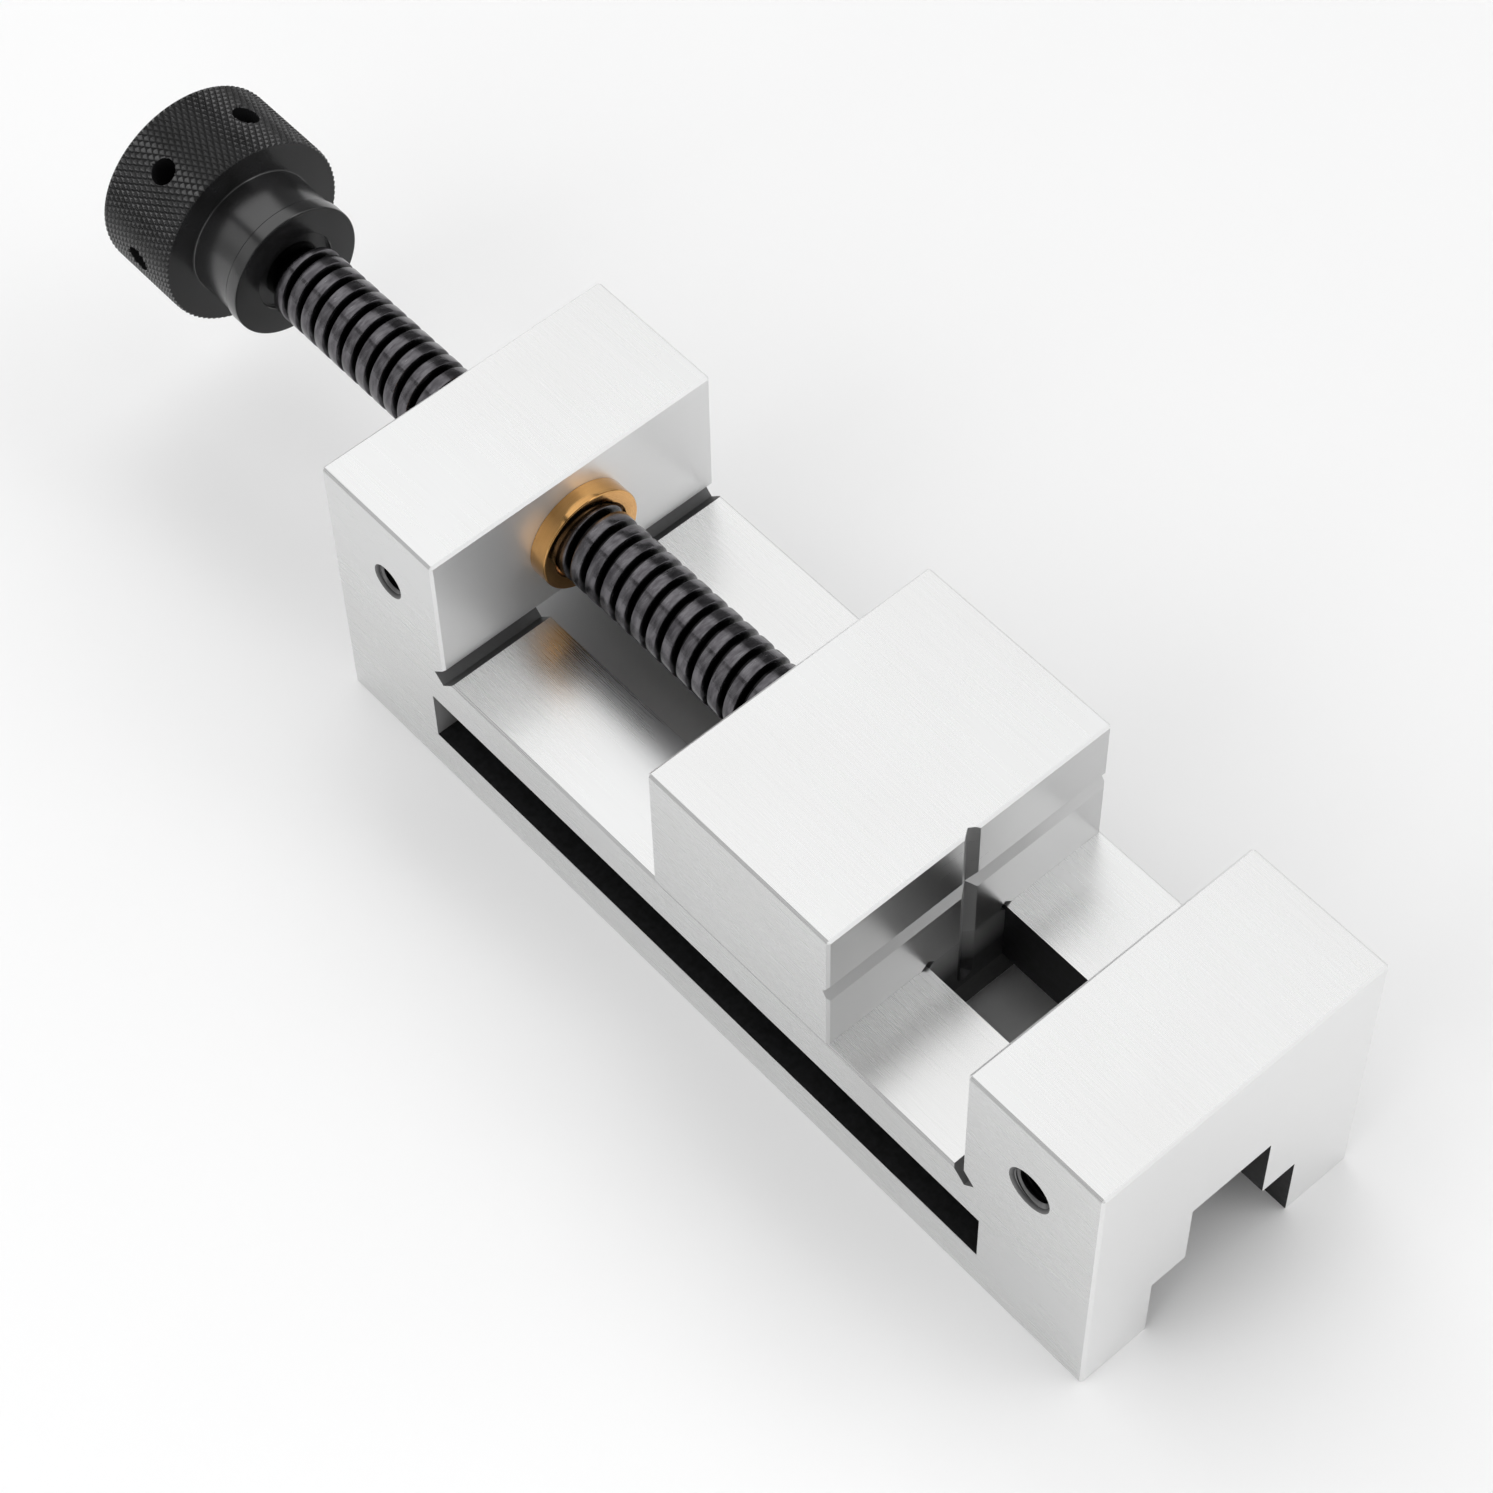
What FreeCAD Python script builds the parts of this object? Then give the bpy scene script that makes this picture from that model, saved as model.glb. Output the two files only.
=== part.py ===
"""Screw-driven precision vise: a one-piece ground steel body, a sliding jaw and a lead screw.

X runs from the fixed-jaw end towards the knob, Y across the vise, Z up. The origin is where
the fixed-jaw end face, the base plane and the centre plane meet. All sizes are in millimetres.
"""
import FreeCAD, Part
import math
import os

from FreeCAD import Vector

# Body
BODY_LENGTH = 192.0
BODY_WIDTH = 63.0
BODY_HEIGHT = 63.0
JAW_DEPTH = 31.7
FIXED_JAW_THICKNESS = 30.0
BOSS_THICKNESS = 30.0
EDGE_BREAK = 0.5
BASE_EDGE_BREAK = 0.25

# Channel under the bed: a slot for the jaw's tongue above a wider way for the keeper plate
SLOT_WIDTH = 18.0
SLOT_ABOVE_BED = 0.5
CHANNEL_WIDTH = 33.4
CHANNEL_HEIGHT = 16.0

# Grooves along both sides for toe clamps
CLAMP_GROOVE_END_WALL = 25.4
CLAMP_GROOVE_HEIGHT = 12.0
CLAMP_GROOVE_DEPTH = 8.0
CLAMP_LEDGE_THICKNESS = 9.3

# Slanted relief slots in the corners where the bed meets the fixed jaw and the boss
RELIEF_WIDTH = 3.0
RELIEF_DEPTH = 2.5
RELIEF_ANGLE = 45.0

# Tapped side holes, on both sides, each placed from its own end of the body. A tapped hole is
# modelled at its screw's outer diameter, and its countersink opens at 45 degrees to the mouth
SIDE_HOLE_FROM_TOP = 17.0
JAW_HOLE_DIAMETER = 8.0
JAW_HOLE_MOUTH_DIAMETER = 9.2
JAW_HOLE_DEPTH = 18.0
JAW_HOLE_FROM_END = 15.2
BOSS_HOLE_DIAMETER = 6.0
BOSS_HOLE_MOUTH_DIAMETER = 7.3
BOSS_HOLE_DEPTH = 14.0
BOSS_HOLE_FROM_END = 16.1

# Movable jaw, shown with this much space between the jaw faces
JAW_OPENING = 32.0
MOVABLE_JAW_LENGTH = 44.0
V_ACROSS_FROM_TOP = 15.8
V_ACROSS_HALF_WIDTH = 2.2
V_UPRIGHT_HALF_WIDTH = 1.82
V_DEPTH = 1.25
V_UPRIGHT_FOOT_HEIGHT = 19.5
TONGUE_RELIEF_WIDTH = 2.0
TONGUE_RELIEF_DEPTH = 1.2

# Lead screw
SCREW_AXIS_ABOVE_BED = 16.1
THREAD_CREST_DIAMETER = 15.3
THREAD_PITCH = 4.0
THREAD_DEPTH = 1.75
THREAD_CREST_WIDTH = 2.3
THREAD_FLANK_ANGLE = 15.0
THREAD_FIRST_GROOVE = 1.15
THREAD_END_CHAMFER = 1.6
THREAD_RELIEF_LENGTH = 2.9
THREAD_RELIEF_BELOW_ROOT = 0.1
JOURNAL_DIAMETER = 10.0
JOURNAL_CHAMFER = 0.8
SHOULDER_GAP = 0.5
KNOB_RUN_CLEARANCE = 18.2
KNOB_SEAT_DIAMETER = 12.0
KNOB_SEAT_RECESS = 0.6
CENTRE_HOLE_DIAMETER = 3.0
CENTRE_HOLE_DEPTH = 4.0

# Thrust end of the screw inside the movable jaw
JAW_BORE_DEPTH = 24.0
THRUST_DISC_THICKNESS = 3.0
CAPTURE_PIN_DIAMETER = 4.0
CAPTURE_PIN_LENGTH = 38.0
CAPTURE_PIN_FROM_REAR = 14.0
CAPTURE_GROOVE_DIAMETER = 6.4
CAPTURE_HOLE_SPARE = 1.0

# Nut bush
NUT_BODY_DIAMETER = 20.0
NUT_FLANGE_DIAMETER = 21.4
NUT_FLANGE_THICKNESS = 3.8
NUT_FLANGE_CHAMFER = 0.3
NUT_END_RECESS = 0.5
NUT_MOUTH_CHAMFER = 0.7

# Keeper plate under the tongue, its screws and their spring washers
KEEPER_THICKNESS = 10.0
KEEPER_END_INSET = 1.0
KEEPER_SIDE_CLEARANCE = 0.2
KEEPER_SCREW_PITCH = 28.0
KEEPER_SCREW_DIAMETER = 5.0
KEEPER_SCREW_LENGTH = 16.0
KEEPER_HOLE_CLEARANCE = 0.25
KEEPER_HEAD_DIAMETER = 8.5
KEEPER_HEAD_HEIGHT = 5.0
KEEPER_HEAD_RECESS = 0.2
KEEPER_SOCKET_ACROSS_FLATS = 4.0
KEEPER_SOCKET_DEPTH = 2.5
WASHER_THICKNESS = 1.0
WASHER_OUTER_DIAMETER = 9.0
WASHER_SPLIT = 0.9
COUNTERBORE_DIAMETER = 10.0
TAPPED_HOLE_SPARE = 1.5

# Knob
BARREL_DIAMETER = 39.2
BARREL_LENGTH = 19.8
BARREL_EDGE_BREAK = 0.5
HUB_DIAMETER = 26.8
HUB_LENGTH = 10.1
COLLAR_DIAMETER = 27.8
COLLAR_LENGTH = 3.0
COLLAR_EDGE_BREAK = 0.3
COLLAR_RECESS_DIAMETER = 16.6
COLLAR_RECESS_DEPTH = 1.0
DISH_DIAMETER = 26.0
DISH_DEPTH = 1.2
TOMMY_HOLE_COUNT = 6
TOMMY_HOLE_DIAMETER = 5.2
TOMMY_HOLE_DEPTH = 11.0
KNOB_TURN_AT_REST = -3.2

# Set screws
SET_SCREW_DIAMETER = 5.0
SET_SCREW_SOCKET_ACROSS_FLATS = 2.5
SET_SCREW_SOCKET_DEPTH = 2.0
NUT_LOCK_SCREW_LENGTH = 5.0
KNOB_LOCK_SCREW_LENGTH = 6.0
KNOB_FLAT_DEPTH = 0.4

# Fits: radial clearance round a hole's piece, or the gap between two flat faces
SLIDE_CLEARANCE = 0.02
KEEPER_GAP = 0.03
THREAD_CLEARANCE = 0.05
JOURNAL_CLEARANCE = 0.03
SEAT_CLEARANCE = 0.01
END_FLOAT = 0.02
PIN_FLOAT = 0.05

# Places that follow from the sizes above
BED_HEIGHT = BODY_HEIGHT - JAW_DEPTH
SLOT_ROOF_HEIGHT = BED_HEIGHT + SLOT_ABOVE_BED
SCREW_AXIS_HEIGHT = BED_HEIGHT + SCREW_AXIS_ABOVE_BED
V_ACROSS_HEIGHT = BODY_HEIGHT - V_ACROSS_FROM_TOP
SIDE_HOLE_HEIGHT = BODY_HEIGHT - SIDE_HOLE_FROM_TOP
HALF_WIDTH = BODY_WIDTH / 2
BOSS_FACE = BODY_LENGTH - BOSS_THICKNESS
JAW_FACE = FIXED_JAW_THICKNESS + JAW_OPENING
JAW_REAR = JAW_FACE + MOVABLE_JAW_LENGTH
JAW_MIDDLE = (JAW_FACE + JAW_REAR) / 2
TONGUE_FOOT = CHANNEL_HEIGHT - KEEPER_GAP
BORE_FLOOR = JAW_REAR - JAW_BORE_DEPTH
SCREW_TIP = BORE_FLOOR + THRUST_DISC_THICKNESS + END_FLOAT
CAPTURE_PIN_X = JAW_REAR - CAPTURE_PIN_FROM_REAR
CAPTURE_PIN_Y = (CAPTURE_GROOVE_DIAMETER + CAPTURE_PIN_DIAMETER) / 2 + PIN_FLOAT
THREAD_START = JAW_REAR + SHOULDER_GAP
KNOB_FRONT = BODY_LENGTH + JAW_OPENING + KNOB_RUN_CLEARANCE
THREAD_END = KNOB_FRONT - THREAD_RELIEF_LENGTH
SEAT_START = KNOB_FRONT + COLLAR_RECESS_DEPTH
HUB_START = KNOB_FRONT + COLLAR_LENGTH
BARREL_START = HUB_START + HUB_LENGTH
KNOB_REAR = BARREL_START + BARREL_LENGTH
BARREL_MIDDLE = (BARREL_START + KNOB_REAR) / 2
KNOB_LOCK_X = HUB_START + HUB_LENGTH / 2
KNOB_LOCK_ANGLE = KNOB_TURN_AT_REST - 90.0
KNOB_FLAT_RADIUS = KNOB_SEAT_DIAMETER / 2 - KNOB_FLAT_DEPTH
KEEPER_FLOOR = TONGUE_FOOT - KEEPER_THICKNESS
COUNTERBORE_DEPTH = KEEPER_HEAD_RECESS + KEEPER_HEAD_HEIGHT + WASHER_THICKNESS
WASHER_FLOOR = KEEPER_FLOOR + KEEPER_HEAD_RECESS + KEEPER_HEAD_HEIGHT
KEEPER_SCREW_PLACES = [JAW_MIDDLE + side * KEEPER_SCREW_PITCH / 2 for side in (-1, 1)]
KEEPER_HOLE_FLOOR = WASHER_FLOOR + KEEPER_SCREW_LENGTH + TAPPED_HOLE_SPARE
CAPTURE_HOLE_TOP = TONGUE_FOOT + CAPTURE_PIN_LENGTH + CAPTURE_HOLE_SPARE
NUT_LOCK_X = BOSS_FACE + BOSS_THICKNESS / 2
NUT_LOCK_TIP = SCREW_AXIS_HEIGHT - NUT_BODY_DIAMETER / 2 - SEAT_CLEARANCE

# How far a cutting tool's shape runs past the face that it opens
PAST = 1.0

# How near two values are when they count as the same
TOUCHING = 1e-6

ALONG = Vector(1, 0, 0)
ACROSS = Vector(0, 1, 0)
UP = Vector(0, 0, 1)


def block(x, y, z):
    """A box between two values on each axis."""
    size = [high - low for low, high in (x, y, z)]
    return Part.makeBox(*size, Vector(x[0], y[0], z[0]))


def both_ways(half):
    return -half, half


def prism(corners, direction):
    """The outline through the corners, pushed along a direction."""
    outline = Part.makePolygon(corners + corners[:1])
    return Part.Face(outline).extrude(direction)


def side_prism(outline, half_width):
    """An outline of (x, z) pairs, pushed across the vise from one side to the other."""
    corners = [Vector(x, -half_width, z) for x, z in outline]
    return prism(corners, ACROSS * (2 * half_width))


def turned(stations):
    """A solid turned about the screw axis from (x, radius) pairs along its outline."""
    first, last = stations[0][0], stations[-1][0]
    outline = [(first, 0), *stations, (last, 0)]
    corners = [Vector(x, 0, SCREW_AXIS_HEIGHT + radius) for x, radius in outline]
    face = Part.Face(Part.makePolygon(corners + corners[:1]))
    return face.revolve(Vector(0, 0, SCREW_AXIS_HEIGHT), ALONG, 360)


def bored(radius, start, end):
    """A plain rod on the screw axis, as a piece or as a bore's cutter."""
    return turned([(start, radius), (end, radius)])


def radial(angle):
    """The direction away from the screw axis at an angle from +Y towards +Z."""
    turn = math.radians(angle)
    return Vector(0, math.cos(turn), math.sin(turn))


def radial_rod(x, angle, radius, inner, outer):
    """A rod that points away from the screw axis, between two distances from it."""
    axis_point = Vector(x, 0, SCREW_AXIS_HEIGHT)
    return Part.makeCylinder(radius, outer - inner, axis_point + radial(angle) * inner, radial(angle))


def upright_rod(x, y, radius, low, high):
    return Part.makeCylinder(radius, high - low, Vector(x, y, low), UP)


def hexagon(across_flats, centre, direction, depth):
    """A hexagonal cutter that starts at a centre and sinks along a direction."""
    corner_radius = across_flats / math.sqrt(3)
    side = ALONG if abs(direction.dot(ALONG)) < 0.5 else UP
    other = direction.cross(side)
    turns = [math.radians(60 * step) for step in range(6)]
    corners = [
        centre + side * (corner_radius * math.cos(turn)) + other * (corner_radius * math.sin(turn))
        for turn in turns
    ]
    return prism(corners, direction * depth)


def set_screw(tip, direction, length):
    """A socket set screw whose flat tip is at a point, with its socket at the other end."""
    radius = SET_SCREW_DIAMETER / 2
    screw = Part.makeCylinder(radius, length, tip, direction)
    head = tip + direction * length
    depth = -SET_SCREW_SOCKET_DEPTH
    return screw.cut(hexagon(SET_SCREW_SOCKET_ACROSS_FLATS, head, direction, depth))


def corner_relief(corner_x, away):
    """The outline of a slanted slot cut into a lower corner; away is -1 or 1 along X."""
    lean = math.radians(RELIEF_ANGLE)
    down = (away * math.cos(lean), -math.sin(lean))
    side = (math.sin(lean), away * math.cos(lean))
    half = RELIEF_WIDTH / 2
    places = [(-half, half), (RELIEF_DEPTH, half), (RELIEF_DEPTH, -half), (-half, -half)]
    return [
        (corner_x + down[0] * depth + side[0] * offset, BED_HEIGHT + down[1] * depth + side[1] * offset)
        for depth, offset in places
    ]


def break_block_edges(shape):
    """Break the edges of the sides and the tops, then those of the base with a finer break."""

    def lies_on(edge, axis, values):
        ends = [getattr(vertex.Point, axis) for vertex in edge.Vertexes]
        return any(all(abs(end - value) < TOUCHING for end in ends) for value in values)

    def is_upper(edge):
        if lies_on(edge, "z", [0]):
            return False
        return lies_on(edge, "y", [-HALF_WIDTH, HALF_WIDTH]) or lies_on(edge, "z", [BODY_HEIGHT])

    shape = shape.makeChamfer(EDGE_BREAK, [edge for edge in shape.Edges if is_upper(edge)])
    base_edges = [edge for edge in shape.Edges if lies_on(edge, "z", [0])]
    return shape.makeChamfer(BASE_EDGE_BREAK, base_edges)


def side_hole(x, side, diameter, mouth_diameter, depth):
    """A countersunk hole into one side of the body; side is -1 or 1 along Y."""
    radius = diameter / 2
    mouth_radius = mouth_diameter / 2
    mouth = Vector(x, side * HALF_WIDTH, SIDE_HOLE_HEIGHT)
    inwards = ACROSS * -side
    hole = Part.makeCylinder(radius, depth, mouth, inwards)
    countersink = Part.makeCone(mouth_radius, radius, mouth_radius - radius, mouth, inwards)
    return hole.fuse(countersink)


def make_body():
    """Bed, fixed jaw and boss in one block, with everything that is cut into them."""
    outline = [
        (0, 0),
        (BODY_LENGTH, 0),
        (BODY_LENGTH, BODY_HEIGHT),
        (BOSS_FACE, BODY_HEIGHT),
        (BOSS_FACE, BED_HEIGHT),
        (FIXED_JAW_THICKNESS, BED_HEIGHT),
        (FIXED_JAW_THICKNESS, BODY_HEIGHT),
        (0, BODY_HEIGHT),
    ]
    body = break_block_edges(side_prism(outline, HALF_WIDTH))
    whole_length = (-PAST, BODY_LENGTH + PAST)
    cuts = [
        side_prism(corner_relief(FIXED_JAW_THICKNESS, -1), HALF_WIDTH + PAST),
        side_prism(corner_relief(BOSS_FACE, 1), HALF_WIDTH + PAST),
        block(whole_length, both_ways(CHANNEL_WIDTH / 2), (-PAST, CHANNEL_HEIGHT)),
        block(whole_length, both_ways(SLOT_WIDTH / 2), (0, SLOT_ROOF_HEIGHT)),
        bored(NUT_BODY_DIAMETER / 2 + SEAT_CLEARANCE, BOSS_FACE - PAST, BODY_LENGTH + PAST),
        upright_rod(NUT_LOCK_X, 0, SET_SCREW_DIAMETER / 2 + SEAT_CLEARANCE, 0, SCREW_AXIS_HEIGHT),
    ]
    groove_x = (CLAMP_GROOVE_END_WALL, BODY_LENGTH - CLAMP_GROOVE_END_WALL)
    groove_z = (CLAMP_LEDGE_THICKNESS, CLAMP_LEDGE_THICKNESS + CLAMP_GROOVE_HEIGHT)
    boss_hole_x = BODY_LENGTH - BOSS_HOLE_FROM_END
    for side in (-1, 1):
        groove_y = sorted((side * (HALF_WIDTH - CLAMP_GROOVE_DEPTH), side * (HALF_WIDTH + PAST)))
        cuts.append(block(groove_x, groove_y, groove_z))
        cuts.append(
            side_hole(
                JAW_HOLE_FROM_END, side, JAW_HOLE_DIAMETER, JAW_HOLE_MOUTH_DIAMETER, JAW_HOLE_DEPTH
            )
        )
        cuts.append(
            side_hole(
                boss_hole_x, side, BOSS_HOLE_DIAMETER, BOSS_HOLE_MOUTH_DIAMETER, BOSS_HOLE_DEPTH
            )
        )
    return body.cut(cuts)


def tongue_relief(side):
    """A slanted slot along the corner between the jaw's underside and one side of its tongue."""
    lean = math.radians(RELIEF_ANGLE)
    into = Vector(0, -side * math.cos(lean), math.sin(lean))
    along_mouth = Vector(0, side * math.sin(lean), math.cos(lean)) * (TONGUE_RELIEF_WIDTH / 2)
    corner = Vector(JAW_FACE - PAST, side * SLOT_WIDTH / 2, BED_HEIGHT)
    mouth = corner - into * (TONGUE_RELIEF_WIDTH / 2)
    floor = corner + into * TONGUE_RELIEF_DEPTH
    corners = [mouth + along_mouth, floor + along_mouth, floor - along_mouth, mouth - along_mouth]
    return prism(corners, ALONG * (MOVABLE_JAW_LENGTH + 2 * PAST))


def jaw_face_grooves():
    """The V grooves that hold round stock: one across the face, one up it with a cutter's end."""
    v_across = side_prism(
        [
            (JAW_FACE, V_ACROSS_HEIGHT - V_ACROSS_HALF_WIDTH),
            (JAW_FACE + V_DEPTH, V_ACROSS_HEIGHT),
            (JAW_FACE, V_ACROSS_HEIGHT + V_ACROSS_HALF_WIDTH),
        ],
        HALF_WIDTH + PAST,
    )
    foot = Vector(JAW_FACE, 0, V_UPRIGHT_FOOT_HEIGHT)
    half_width = ACROSS * V_UPRIGHT_HALF_WIDTH
    v_upright = prism(
        [foot - half_width, foot + ALONG * V_DEPTH, foot + half_width],
        UP * (BODY_HEIGHT - V_UPRIGHT_FOOT_HEIGHT + PAST),
    )
    v_end = Part.makeCone(V_UPRIGHT_HALF_WIDTH, 0, V_DEPTH, foot, ALONG)
    return [v_across, v_upright, v_end]


def make_movable_jaw():
    """The sliding jaw with its guide tongue, thrust bore and fastening holes."""
    jaw_z = (BED_HEIGHT + SLIDE_CLEARANCE, BODY_HEIGHT)
    upper = block((JAW_FACE, JAW_REAR), both_ways(HALF_WIDTH), jaw_z)
    upright_or_top = [
        edge
        for edge in upper.Edges
        if max(vertex.Point.z for vertex in edge.Vertexes) > BODY_HEIGHT - EDGE_BREAK
    ]
    upper = upper.makeChamfer(EDGE_BREAK, upright_or_top)
    tongue_half = SLOT_WIDTH / 2 - SLIDE_CLEARANCE
    tongue = block((JAW_FACE, JAW_REAR), both_ways(tongue_half), (TONGUE_FOOT, BED_HEIGHT + PAST))
    cuts = jaw_face_grooves()
    cuts.append(bored(JOURNAL_DIAMETER / 2 + JOURNAL_CLEARANCE, BORE_FLOOR, JAW_REAR + PAST))
    for side in (-1, 1):
        cuts.append(tongue_relief(side))
        pin_hole = CAPTURE_PIN_DIAMETER / 2 + SEAT_CLEARANCE
        cuts.append(upright_rod(CAPTURE_PIN_X, side * CAPTURE_PIN_Y, pin_hole, 0, CAPTURE_HOLE_TOP))
    for x in KEEPER_SCREW_PLACES:
        tapped = KEEPER_SCREW_DIAMETER / 2 + SEAT_CLEARANCE
        cuts.append(upright_rod(x, 0, tapped, 0, KEEPER_HOLE_FLOOR))
    return upper.fuse(tongue).removeSplitter().cut(cuts)


def make_keeper_plate():
    """The plate that holds the jaw down, running under the shoulders of the channel."""
    x = (JAW_FACE + KEEPER_END_INSET, JAW_REAR - KEEPER_END_INSET)
    half = CHANNEL_WIDTH / 2 - KEEPER_SIDE_CLEARANCE
    plate = block(x, both_ways(half), (KEEPER_FLOOR, TONGUE_FOOT))
    plate = plate.makeChamfer(EDGE_BREAK, plate.Edges)
    through = KEEPER_SCREW_DIAMETER / 2 + KEEPER_HOLE_CLEARANCE
    counterbore_top = KEEPER_FLOOR + COUNTERBORE_DEPTH
    cuts = []
    for place in KEEPER_SCREW_PLACES:
        cuts.append(upright_rod(place, 0, through, 0, TONGUE_FOOT + PAST))
        cuts.append(upright_rod(place, 0, COUNTERBORE_DIAMETER / 2, 0, counterbore_top))
    return plate.cut(cuts)


def make_keeper_screws():
    """Socket head cap screws, heads down in the plate's counterbores."""
    screws = []
    head_floor = WASHER_FLOOR - KEEPER_HEAD_HEIGHT
    for place in KEEPER_SCREW_PLACES:
        head = upright_rod(place, 0, KEEPER_HEAD_DIAMETER / 2, head_floor, WASHER_FLOOR)
        rim = [edge for edge in head.Edges if abs(edge.CenterOfMass.z - head_floor) < SEAT_CLEARANCE]
        head = head.makeChamfer(EDGE_BREAK, rim)
        shank_top = WASHER_FLOOR + KEEPER_SCREW_LENGTH
        shank = upright_rod(place, 0, KEEPER_SCREW_DIAMETER / 2, WASHER_FLOOR, shank_top)
        socket_centre = Vector(place, 0, head_floor)
        socket = hexagon(KEEPER_SOCKET_ACROSS_FLATS, socket_centre, UP, KEEPER_SOCKET_DEPTH)
        screws.append(head.fuse(shank).cut(socket))
    return Part.makeCompound(screws)


def make_keeper_washers():
    """Split spring washers, pressed flat under the screw heads."""
    washers = []
    top = WASHER_FLOOR + WASHER_THICKNESS
    hole = KEEPER_SCREW_DIAMETER / 2 + KEEPER_HOLE_CLEARANCE
    for place in KEEPER_SCREW_PLACES:
        ring = upright_rod(place, 0, WASHER_OUTER_DIAMETER / 2, WASHER_FLOOR, top)
        bore = upright_rod(place, 0, hole, WASHER_FLOOR, top)
        split = block(
            both_ways(WASHER_SPLIT / 2), (0, WASHER_OUTER_DIAMETER), (WASHER_FLOOR, top)
        )
        split.translate(ALONG * place)
        washers.append(ring.cut([bore, split]))
    return Part.makeCompound(washers)


def make_thrust_disc():
    """The hardened disc that the screw's tip pushes on."""
    return bored(JOURNAL_DIAMETER / 2, BORE_FLOOR, BORE_FLOOR + THRUST_DISC_THICKNESS)


def make_capture_pins():
    """Dowel pins beside the screw's groove, held in by the keeper plate."""
    radius = CAPTURE_PIN_DIAMETER / 2
    top = TONGUE_FOOT + CAPTURE_PIN_LENGTH
    pins = []
    for side in (-1, 1):
        pins.append(upright_rod(CAPTURE_PIN_X, side * CAPTURE_PIN_Y, radius, TONGUE_FOOT, top))
    return Part.makeCompound(pins)


def thread_groove():
    """The groove between the thread's turns: a trapezoid swept along a right-hand helix.

    It starts beside the journal, ahead of the first turn, and runs out in the relief groove.
    """
    crest = THREAD_CREST_DIAMETER / 2
    root = crest - THREAD_DEPTH
    outside = crest + PAST
    crest_half = (THREAD_PITCH - THREAD_CREST_WIDTH) / 2
    widening = math.tan(math.radians(THREAD_FLANK_ANGLE))
    root_half = crest_half - THREAD_DEPTH * widening
    outside_half = crest_half + PAST * widening
    corners = [
        Vector(root, 0, -root_half),
        Vector(outside, 0, -outside_half),
        Vector(outside, 0, outside_half),
        Vector(root, 0, root_half),
    ]
    start = THREAD_START + THREAD_FIRST_GROOVE - THREAD_PITCH
    end = THREAD_END + THREAD_RELIEF_LENGTH / 2
    helix = Part.makeLongHelix(THREAD_PITCH, end - start, root)
    outline = Part.makePolygon(corners + corners[:1])
    groove = Part.Wire(helix.Edges).makePipeShell([outline], True, True)
    groove.rotate(Vector(), ALONG + ACROSS + UP, 120)
    groove.translate(Vector(start, 0, SCREW_AXIS_HEIGHT))
    return groove


def make_lead_screw():
    """The spindle: grooved journal, trapezoidal thread, and the seat inside the knob."""
    journal = JOURNAL_DIAMETER / 2
    crest = THREAD_CREST_DIAMETER / 2
    relief = crest - THREAD_DEPTH - THREAD_RELIEF_BELOW_ROOT
    seat = KNOB_SEAT_DIAMETER / 2
    groove = CAPTURE_GROOVE_DIAMETER / 2
    groove_half = CAPTURE_PIN_DIAMETER / 2 + PIN_FLOAT
    end = KNOB_REAR - KNOB_SEAT_RECESS
    screw = turned(
        [
            (SCREW_TIP, journal - JOURNAL_CHAMFER),
            (SCREW_TIP + JOURNAL_CHAMFER, journal),
            (CAPTURE_PIN_X - groove_half, journal),
            (CAPTURE_PIN_X - groove_half, groove),
            (CAPTURE_PIN_X + groove_half, groove),
            (CAPTURE_PIN_X + groove_half, journal),
            (THREAD_START, journal),
            (THREAD_START, crest - THREAD_END_CHAMFER),
            (THREAD_START + THREAD_END_CHAMFER, crest),
            (THREAD_END, crest),
            (THREAD_END, relief),
            (SEAT_START, relief),
            (SEAT_START, seat),
            (end - JOURNAL_CHAMFER, seat),
            (end, seat - JOURNAL_CHAMFER),
        ]
    )
    centre_hole = turned([(end - CENTRE_HOLE_DEPTH, 0), (end, CENTRE_HOLE_DIAMETER / 2)])
    flat = block(
        (KNOB_LOCK_X - SET_SCREW_DIAMETER, KNOB_LOCK_X + SET_SCREW_DIAMETER),
        (KNOB_FLAT_RADIUS, KNOB_SEAT_DIAMETER),
        both_ways(KNOB_SEAT_DIAMETER),
    )
    flat.translate(UP * SCREW_AXIS_HEIGHT)
    flat.rotate(Vector(0, 0, SCREW_AXIS_HEIGHT), ALONG, KNOB_LOCK_ANGLE)
    return screw.cut([centre_hole, flat, thread_groove()])


def make_screw_nut():
    """The flanged bush that the screw runs in, pushed into the boss from the jaw's side."""
    body = NUT_BODY_DIAMETER / 2
    flange = NUT_FLANGE_DIAMETER / 2
    front = BOSS_FACE - NUT_FLANGE_THICKNESS
    rear = BODY_LENGTH - NUT_END_RECESS
    hole = THREAD_CREST_DIAMETER / 2 + THREAD_CLEARANCE
    mouth = hole + NUT_MOUTH_CHAMFER
    bush = turned(
        [
            (front, flange - NUT_FLANGE_CHAMFER),
            (front + NUT_FLANGE_CHAMFER, flange),
            (BOSS_FACE, flange),
            (BOSS_FACE, body),
            (rear, body),
        ]
    )
    bore = turned(
        [
            (front, mouth),
            (front + NUT_MOUTH_CHAMFER, hole),
            (rear - NUT_MOUTH_CHAMFER, hole),
            (rear, mouth),
        ]
    )
    return bush.cut(bore)


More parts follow.
